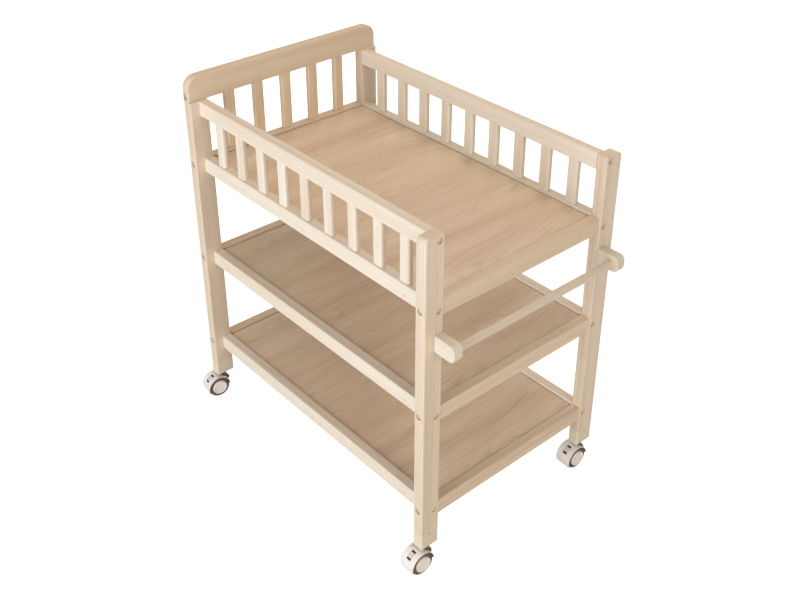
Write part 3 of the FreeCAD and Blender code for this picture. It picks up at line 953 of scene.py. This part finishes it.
@dataclass
class Fasteners:
    """Furniture screws, cleat screws, cross dowels and studs."""

    finishes: Finishes
    head_height: float = 0.003
    shank_radius: float = 0.003
    socket_radius: float = 0.0017
    socket_depth: float = 0.0008
    dome: float = 0.0004
    cap_radius: float = 0.0044
    cap_height: float = 0.0005
    cap_sunk: float = 0.0002
    cap_inset: float = 0.0615

    def build(self) -> None:
        """Makes the screws' heads and shanks, and dresses the studs."""
        self.screws("frame_screws", "furniture_screws", self.head_height, self.shank_radius)
        self.screws("headboard_nuts", "cross_dowels", 0.0, 0.0)
        self.small_screws()
        dress("headboard_studs", self.finishes.steel)

    def small_screws(self) -> None:
        """Makes the low round heads of the screws that go through the side rails into the cleats."""
        maker = Maker()
        rail_start, rail_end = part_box("deck_front_rail")
        middle = (rail_start.x + rail_end.x) / 2
        reach = (rail_end.x - rail_start.x) / 2 - self.cap_inset
        heights = {round(sum(point.z for point in points) / len(points), 4) for points in islands("panel_cleats")}
        faces = ((rail_start.y, -1), (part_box("deck_back_rail")[1].y, 1))
        cap, tall = self.cap_radius, self.cap_height
        profile = [(-self.cap_sunk, 0.0), (-self.cap_sunk, cap), (tall * 0.4, cap), (tall * 0.8, cap * 0.88),
                   (tall, cap * 0.6), (tall * 0.9, cap * 0.4), (tall * 0.5, cap * 0.3), (tall * 0.5, 0.0)]
        for height in sorted(heights):
            for y, side in faces:
                for step in (-1, 0, 1):
                    place = Matrix.Translation((middle + step * reach, y, height)) @ facing(Vector((0, side, 0)))
                    maker.lathe(profile, place, 24)
        maker.piece("small_screws", self.finishes.screw, "frame")

    def screws(self, node: str, name: str, head_height: float, shank: float) -> None:
        """Makes one kind of screw wherever its CAD node has one.

        Args:
            node: CAD node with the screws as separate solids.
            name: Name of the new piece.
            head_height: Height of the head, or 0 where the whole length is as wide.
            shank: Radius of the shank.
        """
        maker = Maker()
        for points in islands(node):
            spot = Spot.of(points)
            wide, hole = spot.radius, self.socket_radius
            rim = wide * 0.09
            top = self.dome if head_height else 0.0
            profile = [(top - self.socket_depth, 0.0), (top - self.socket_depth, hole), (top - rim * 0.3, hole),
                       (top, hole * 1.25), (top * 0.8, wide * 0.55), (0.0, wide - rim),
                       (-rim * 0.3, wide - rim * 0.3), (-rim, wide)]
            if head_height:
                profile += [(-head_height, wide), (-head_height, shank), (-spot.length + shank, shank),
                            (-spot.length, shank * 0.4)]
            else:
                profile.append((-spot.length, wide))
            maker.lathe(profile + [(-spot.length, 0.0)], spot.matrix(), 32)
        maker.piece(name, self.finishes.screw, "frame", [node])


# ---------------------------------------------------------------- casters
# Turned edges, from the cylinder to the face, as (in from the face, in from the radius)
TYRE_EDGE = ((0.0034, 0.0), (0.0019, 0.0003), (0.0008, 0.0010), (0.0002, 0.0020), (0.0, 0.0034), (0.0001, 0.0050),
             (0.0006, 0.0054), (0.0006, 0.0061), (0.0001, 0.0065))
CAP_EDGE = ((0.0014, 0.0), (0.0006, 0.0002), (0.0001, 0.0008), (0.0, 0.0018), (0.0001, 0.0034), (0.0008, 0.0041),
            (0.0011, 0.0050))
HOOD_COLUMNS = (0.0044, 0.0100, 0.0140, 0.0175, 0.0195, 0.0210)    # grid places from the hood's middle


@dataclass
class Caster:
    """Hooded twin-wheel caster with a brake lever; angles go from its back over the top, in degrees."""

    corner: str
    finishes: Finishes
    wheel_radius: float = 0.030
    wheel_space: float = 0.0134
    wheel_steps: int = 96
    tyre_face: float = 0.0203
    hub_face: float = 0.0240
    hub_radius: float = 0.0205
    hub_room: float = 0.0002
    bore_radius: float = 0.0034
    bore_end: float = 0.0174
    hood_inner: float = 0.0318
    hood_wall: float = 0.0012
    hood_half: float = 0.0222
    hood_start: float = 5.0
    hood_end: float = 214.0
    hood_steps: int = 92
    crown_start: float = 0.0185
    crown_drop: float = 0.0004
    # the dark sheet inside the hood that paints its shade, and its lips that paint shade on the tyres' tops
    shade_sheet_end: float = 101.0
    shade_sheet_wall: float = 0.0006
    shade_sheet_room: float = 0.00005
    rim_end: float = 198.0
    lip_start: float = 0.0209
    lip_end: float = 0.0219
    lip_depth: float = 0.0014
    lip_extra: float = 0.0024
    lip_deepest: float = 50.0
    lip_level: float = 110.0
    lip_rise: float = 10.0
    shell_step: float = 3.0
    slot_start: float = 38.0
    slot_end: float = 66.0
    web_half: float = 0.0025
    web_start: int = -30
    web_end: int = 212
    web_step: int = 6
    web_room: float = 0.0002
    web_proud: float = 0.0009
    web_notch: float = 0.0046
    window_middle: float = 126.0
    window_span: float = 44.0
    window_half: float = 0.0063
    pad_span: float = 25.0
    pad_half: float = 0.0055
    pad_proud: float = 0.0014
    pad_thickness: float = 0.0030
    rib_height: float = 0.00035
    rib_count: int = 5
    pad_side_drop: float = 0.0005
    pad_end_drop: float = 0.0006
    cheek_inner: float = 0.0030
    lever_pin: float = 0.0015
    pivot_radius: float = 0.0200
    boss_radius: float = 0.0072
    boss_gap: float = 0.0028
    axle_boss: float = 0.0075
    skirt_radius: float = 0.0150
    skirt_bottom: float = 0.0440
    skirt_top: float = 0.0570
    skirt_curve: float = 1.8
    skirt_step: float = 0.0004
    skirt_room: float = 0.0001
    pin_room: float = 0.0056
    pin_length: float = 0.0100
    soft: float = 0.0003

    def __post_init__(self) -> None:
        """Reads the swivel axis, the axle and the angle that the caster stands at from the joints."""
        joints = {joint["name"]: joint for joint in frame["joints"]}
        swivel = joints["swivel_" + self.corner]
        spin = joints["wheel_left_spin_" + self.corner]
        turn = math.atan2(spin["axis"][1], spin["axis"][0])
        foot = Vector((swivel["pos_m"][0], swivel["pos_m"][1], 0))
        self.post_bottom = swivel["pos_m"][2]
        self.place = Matrix.Translation(foot) @ Matrix.Rotation(turn, 4, "Z")
        self.trail = math.hypot(spin["pos_m"][0] - foot.x, spin["pos_m"][1] - foot.y)
        self.hood_outer = self.hood_inner + self.hood_wall
        self.body = "caster_" + self.corner

    def beside(self, radius: float, degrees: float) -> Pair:
        """(y, z) of a point at a radius and an angle about the axle, in the caster's frame."""
        angle = math.radians(degrees)
        return radius * math.cos(angle) - self.trail, radius * math.sin(angle) + self.wheel_radius

    def at(self, radius: float, degrees: float, x: float = 0.0) -> Vector:
        """Point at a radius, an angle and a place along the axle, in the trolley's frame."""
        return self.place @ Vector((x, *self.beside(radius, degrees)))

    def axle_place(self, side: int = 1) -> Matrix:
        """Matrix whose Z axis runs along the axle, outwards to one side."""
        turn = Matrix.Rotation(side * math.pi / 2, 4, "Y")
        return self.place @ Matrix.Translation((0, -self.trail, self.wheel_radius)) @ turn

    def build(self) -> None:
        """Makes every piece of the caster."""
        self.build_hood()
        self.build_fork()
        self.build_painted_shade()
        self.build_lever()
        for side, label in ((-1, "left"), (1, "right")):
            self.build_wheel(side, label)
        dress(self.body + "_axle", self.finishes.steel)

    def build_hood(self) -> None:
        """Thin cover over both wheels, crowned at its sides, with its slot and window."""
        half_window = self.window_span / 2
        angles = even(self.hood_start, self.hood_end, self.hood_steps)
        for mark in (self.slot_start, self.slot_end, self.window_middle - half_window,
                     self.window_middle + half_window):
            nearest = min(range(len(angles)), key=lambda n: abs(angles[n] - mark))
            angles[nearest] = mark
        half = {0.0, self.web_half, self.window_half, *HOOD_COLUMNS, self.hood_half}
        columns = sorted({-x for x in half} | half)

        def crown(degrees: float, x: float) -> float:
            """Outer radius, which falls a little towards the sides."""
            edge = max(0.0, (abs(x) - self.crown_start) / (self.hood_half - self.crown_start))
            return self.hood_outer - self.crown_drop * edge ** 2

        def keep(degrees: float, x: float) -> bool:
            """False in the web's slot and the lever's window."""
            in_slot = self.slot_start < degrees < self.slot_end and abs(x) < self.web_half
            in_window = abs(degrees - self.window_middle) < half_window and abs(x) < self.window_half
            return not (in_slot or in_window)

        maker = Maker()
        maker.shell(angles, columns, lambda degrees, x: self.hood_inner, crown, self.at, keep)
        maker.piece("hood_" + self.corner, self.finishes.white, self.body, [self.body + "_hood"],
                    bevel=self.soft)

    def build_fork(self) -> None:
        """Swivel boss with its skirt, the web between the wheels and the axle's boss."""
        maker = Maker()
        boss, flare, top = self.boss_radius, self.skirt_radius - self.boss_radius, self.post_bottom - self.boss_gap
        profile = [(self.skirt_bottom, 0.0), (self.skirt_bottom, self.skirt_radius)]
        for share in even(0.0, 1.0, 8)[1:-1]:
            profile.append((self.skirt_bottom + (self.skirt_top - self.skirt_bottom) * share,
                            boss + flare * (1 - share) ** self.skirt_curve + self.skirt_step))
        profile += [(self.skirt_top - 0.0005, boss + self.skirt_step), (self.skirt_top + 0.001, boss),
                    (top - 0.0006, boss), (top, boss - 0.0006), (top, self.pin_room),
                    (top - self.pin_length, self.pin_room), (top - self.pin_length, 0.0)]
        maker.lathe(profile, self.place)
        clear, back = self.hood_outer + self.skirt_room, self.place.inverted()
        for vert in maker.mesh.verts:      # the skirt's underside follows the hood
            local = back @ vert.co
            y, z = local.y + self.trail, local.z - self.wheel_radius
            if math.hypot(y, z) < clear and z > 0:
                local.z += math.sqrt(max(clear ** 2 - y * y, 0.0)) - z
                vert.co = self.place @ local
        web = []
        for degrees in range(self.web_start, self.web_end, self.web_step):
            radius = self.hood_inner - self.web_room
            if abs(degrees - self.window_middle) < self.window_span / 2:
                radius -= self.web_notch
            if self.slot_start <= degrees <= self.slot_end:
                radius = self.hood_outer + self.web_proud
            web.append(self.beside(radius, degrees))
        maker.slab(web, -self.web_half, self.web_half, self.place)
        half, eased = self.wheel_space / 2 - 0.0004, self.axle_boss - 0.0006
        maker.lathe([(-half, 0.0), (-half, eased), (-half + 0.0006, self.axle_boss), (half - 0.0006, self.axle_boss),
                     (half, eased), (half, 0.0)], self.axle_place(), 40)
        maker.piece("fork_" + self.corner, self.finishes.grey, self.body, [self.body + "_fork"],
                    bevel=self.soft)

    def build_painted_shade(self) -> None:
        """Dark sheet inside the hood's back half that paints its shade, and lips of it on both rims that come down
        over the tyres and paint shade on their tops.
        """
        def wall(degrees: float, x: float) -> float:
            """Inner radius of the sheet of painted shade."""
            return self.hood_inner - self.shade_sheet_wall

        def lip(degrees: float, x: float) -> float:
            """Inner radius of a lip of painted shade, which is deepest at the back."""
            share = min(1.0, max(0.0, (self.lip_level - degrees) / (self.lip_level - self.lip_deepest)))
            share *= min(1.0, (degrees - self.hood_start) / self.lip_rise)
            return self.hood_inner - self.lip_depth - self.lip_extra * share * share * (3 - 2 * share)

        maker = Maker()
        for end, near, far, inner in ((self.shade_sheet_end, self.web_half, self.lip_start - SAME_PLACE * 2, wall),
                                      (self.rim_end, self.lip_start, self.lip_end, lip)):
            angles = even(self.hood_start, end, round((end - self.hood_start) / self.shell_step))
            for columns in ((-far, -near), (near, far)):
                maker.shell(angles, columns, inner, lambda degrees, x: self.hood_inner - self.shade_sheet_room, self.at)
        maker.piece("hood_lining_" + self.corner, self.finishes.lining, self.body)

    def build_lever(self) -> None:
        """Rocker pad with ribs, its two cheeks and its pin."""
        outside = self.hood_outer + self.pad_proud
        under = outside - self.pad_thickness
        start, half = self.window_middle - self.pad_span / 2, self.pad_half
        columns = [half * share for share in (-1, -0.94, -0.8, -0.4, 0, 0.4, 0.8, 0.94, 1)]

        def top(degrees: float, x: float) -> float:
            """Outer radius: low ribs, and edges that fall away."""
            share = (degrees - start) / self.pad_span
            ends = min(share, 1 - share)
            rib = self.rib_height * max(0.0, math.cos(share * math.tau * self.rib_count)) if ends > 0.12 else 0.0
            side, end = max(0.0, (abs(x) / half - 0.8) / 0.2), max(0.0, 1 - ends / 0.06)
            return outside - self.rib_height + rib - self.pad_side_drop * side ** 2 - self.pad_end_drop * end ** 2

        maker = Maker()
        maker.shell(even(start, start + self.pad_span, 40), columns, lambda degrees, x: under, top, self.at)
        pin = Matrix.Translation(self.at(self.pivot_radius, self.window_middle))
        maker.lathe([(-half, 0.0), (-half, self.lever_pin), (half, self.lever_pin), (half, 0.0)],
                    pin @ self.axle_place().to_3x3().to_4x4(), 20)
        foot = self.pivot_radius - 0.003
        cheek = [self.beside(radius, self.window_middle + degrees)
                 for radius, degrees in ((foot, -6), (foot, 6), (under, 8), (under, -8))]
        for low, high in ((-half, -self.cheek_inner), (self.cheek_inner, half)):
            maker.slab(cheek, low, high, self.place)
        maker.piece("brake_lever_" + self.corner, self.finishes.beige, "brake_" + self.corner,
                    [self.body + "_brake_lever"], bevel=0.0002)

    def build_wheel(self, side: int, label: str) -> None:
        """Tyre with a shouldered tread, and the hub with its proud ringed cap.

        Args:
            side: -1 for the left wheel, 1 for the right one.
            label: left or right.
        """
        inside, face, radius, hub_radius = self.wheel_space / 2, self.tyre_face, self.wheel_radius, self.hub_radius
        place, body, seat = self.axle_place(side), f"wheel_{label}_{self.corner}", hub_radius + self.hub_room
        tyre = Maker()
        tyre.lathe([(inside + 0.001, seat), (inside, seat + 0.001), (inside, radius - 0.0012),
                    (inside + 0.0004, radius - 0.0003), (inside + 0.0012, radius)]
                   + [(face - back, radius - down) for back, down in TYRE_EDGE]
                   + [(face - 0.0004, seat + 0.0010), (face - 0.0014, seat), (inside + 0.001, seat)],
                   place, self.wheel_steps)
        tyre.piece(f"tyre_{label}_{self.corner}", self.finishes.tyre, body,
                   [f"{self.body}_wheel_{label}"])
        cap = self.hub_face
        hub = Maker()
        hub.lathe([(inside, self.bore_radius), (inside, hub_radius - 0.0005), (inside + 0.0005, hub_radius)]
                  + [(cap - back, hub_radius - down) for back, down in CAP_EDGE]
                  + [(cap - 0.0009, 0.008), (cap - 0.0007, 0.0)], place, self.wheel_steps)
        hub.lathe([(self.bore_end, 0.0), (self.bore_end, self.bore_radius), (inside, self.bore_radius)], place,
                  self.wheel_steps)
        hub.piece(f"hub_{label}_{self.corner}", self.finishes.hub, body)


# ---------------------------------------------------------------- stage
@dataclass(frozen=True)
class Lamp:
    """Soft square lamp that faces the trolley: its place, its side and its power in watts."""

    name: str
    place: Triple
    size: float
    power: float
    colour: Bytes
    aim: Triple = (0.0, 0.0, 0.5)

    def build(self) -> None:
        """Hangs the lamp."""
        data = bpy.data.lights.new(self.name, "AREA")
        data.shape = "SQUARE"
        data.size = self.size
        data.energy = self.power
        data.color = srgb(self.colour)[:3]
        lamp = add_object(self.name, data)
        lamp.location = self.place
        lamp.rotation_euler = (Vector(self.aim) - Vector(self.place)).to_track_quat("-Z", "Y").to_euler()


@dataclass
class Stage:
    """Plain white floor, soft lamps and the camera of the photograph."""

    camera_from_middle: Triple = (1.7337, -1.4885, 1.9758)
    azimuth: float = -40.870
    elevation: float = 30.111
    roll: float = -0.106
    focal_pixels: float = 1077.93
    image_width: float = 800.0
    image_height: float = 600.0
    middle_x: float = 396.35
    middle_y: float = 217.42
    sensor: float = 36.0
    world_strength: float = 0.27
    fill_colour: Bytes = (255, 238, 216)
    floor_reach: float = 9.0
    floor_colour: Bytes = (236, 235, 233)
    floor_glow: float = 0.80
    lamps: tuple[Lamp, ...] = (
        Lamp("key", (0.55, -3.9, 1.25), 2.2, 103.0, (248, 251, 255)),
        Lamp("side", (3.0, -0.5, 1.7), 1.8, 33.0, (255, 246, 236)),
        Lamp("top", (-0.5, 0.5, 3.6), 1.8, 30.0, (255, 230, 207)),
        Lamp("back", (-2.7, 3.3, 1.1), 2.0, 32.0, (255, 247, 236)))

    def build(self) -> None:
        """Makes the camera, the floor, the world and the lamps."""
        self.build_camera()
        self.build_floor()
        self.build_world()
        for lamp in self.lamps:
            lamp.build()
        bpy.context.scene.view_settings.view_transform = "Standard"

    def build_camera(self) -> None:
        """Camera at the photograph's place, with its lens and framing."""
        data = bpy.data.cameras.new("camera")
        data.sensor_width = self.sensor
        data.lens = self.sensor * self.focal_pixels / self.image_width
        data.shift_x = (self.image_width / 2 - self.middle_x) / self.image_width
        data.shift_y = (self.middle_y - self.image_height / 2) / self.image_width
        camera = add_object("camera", data)
        azimuth, elevation = math.radians(self.azimuth), math.radians(self.elevation)
        back = Vector((math.cos(elevation) * math.cos(azimuth), math.cos(elevation) * math.sin(azimuth),
                       math.sin(elevation)))
        aim = (-back).to_track_quat("-Z", "Y").to_matrix().to_4x4()
        low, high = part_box("post_front_head")[0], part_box("post_back_foot")[1]
        middle = Vector(((low.x + high.x) / 2, (low.y + high.y) / 2, 0))
        camera.matrix_world = (Matrix.Translation(middle + Vector(self.camera_from_middle)) @ aim
                               @ Matrix.Rotation(math.radians(self.roll), 4, "Z"))
        bpy.context.scene.camera = camera

    def build_floor(self) -> None:
        """White floor that shows as the background and keeps the trolley's soft shadow."""
        data = bpy.data.meshes.new("floor")
        reach = self.floor_reach
        data.from_pydata([(-reach, -reach, 0), (reach, -reach, 0), (reach, reach, 0), (-reach, reach, 0)], [],
                         [(0, 1, 2, 3)])
        floor = add_object("floor", data)
        made, graph, shader = new_material("white_floor")
        glow = graph.times(graph.node("LightPath").outputs["Is Camera Ray"], self.floor_glow)
        graph.fill(shader, {"Base Color": srgb(self.floor_colour), "Roughness": 0.9, "Specular IOR Level": 0.1,
                            "Emission Color": (1, 1, 1, 1), "Emission Strength": glow})
        data.materials.append(made)

    def build_world(self) -> None:
        """Even warm surroundings, which show as plain white behind the trolley."""
        world = bpy.data.worlds.new("surroundings")
        world.use_nodes = True
        bpy.context.scene.world = world
        graph = Graph(world.node_tree)
        rays = graph.node("LightPath").outputs
        seen = graph.math("MAXIMUM", *[rays[f"Is {kind} Ray"] for kind in ("Camera", "Glossy", "Transmission")])
        graph.fill(world.node_tree.nodes["Background"], {
            "Color": graph.mix(seen, srgb(self.fill_colour), (1.0, 1.0, 1.0, 1.0)),
            "Strength": graph.ramp(seen, 0.0, 1.0, self.world_strength, 1.0)})


def slat_cells(node: str, axis: int) -> Pair:
    """Spacing of a row of slats, and the middle of the gap before the first.

    Args:
        node: The slats' node.
        axis: The axis that the row runs along.

    Returns:
        The spacing and the start.
    """
    middles = sorted(sum(p[axis] for p in points) / len(points) for points in islands(node))
    spacing = (middles[-1] - middles[0]) / (len(middles) - 1)
    return spacing, middles[0] - spacing / 2


def main() -> None:
    """Builds the stage and every sub-assembly in order."""
    logging.basicConfig(level=logging.INFO, format="%(message)s")
    Stage().build()
    finishes = Finishes(slat_cells("guard_slats_front", 0), slat_cells("headboard_slats", 1))
    Woodwork(finishes).dress()
    Fasteners(finishes).build()
    dress("caster_stems", finishes.steel)
    for corner in CORNERS:
        Caster(corner, finishes).build()


if __name__ == "__main__":
    main()
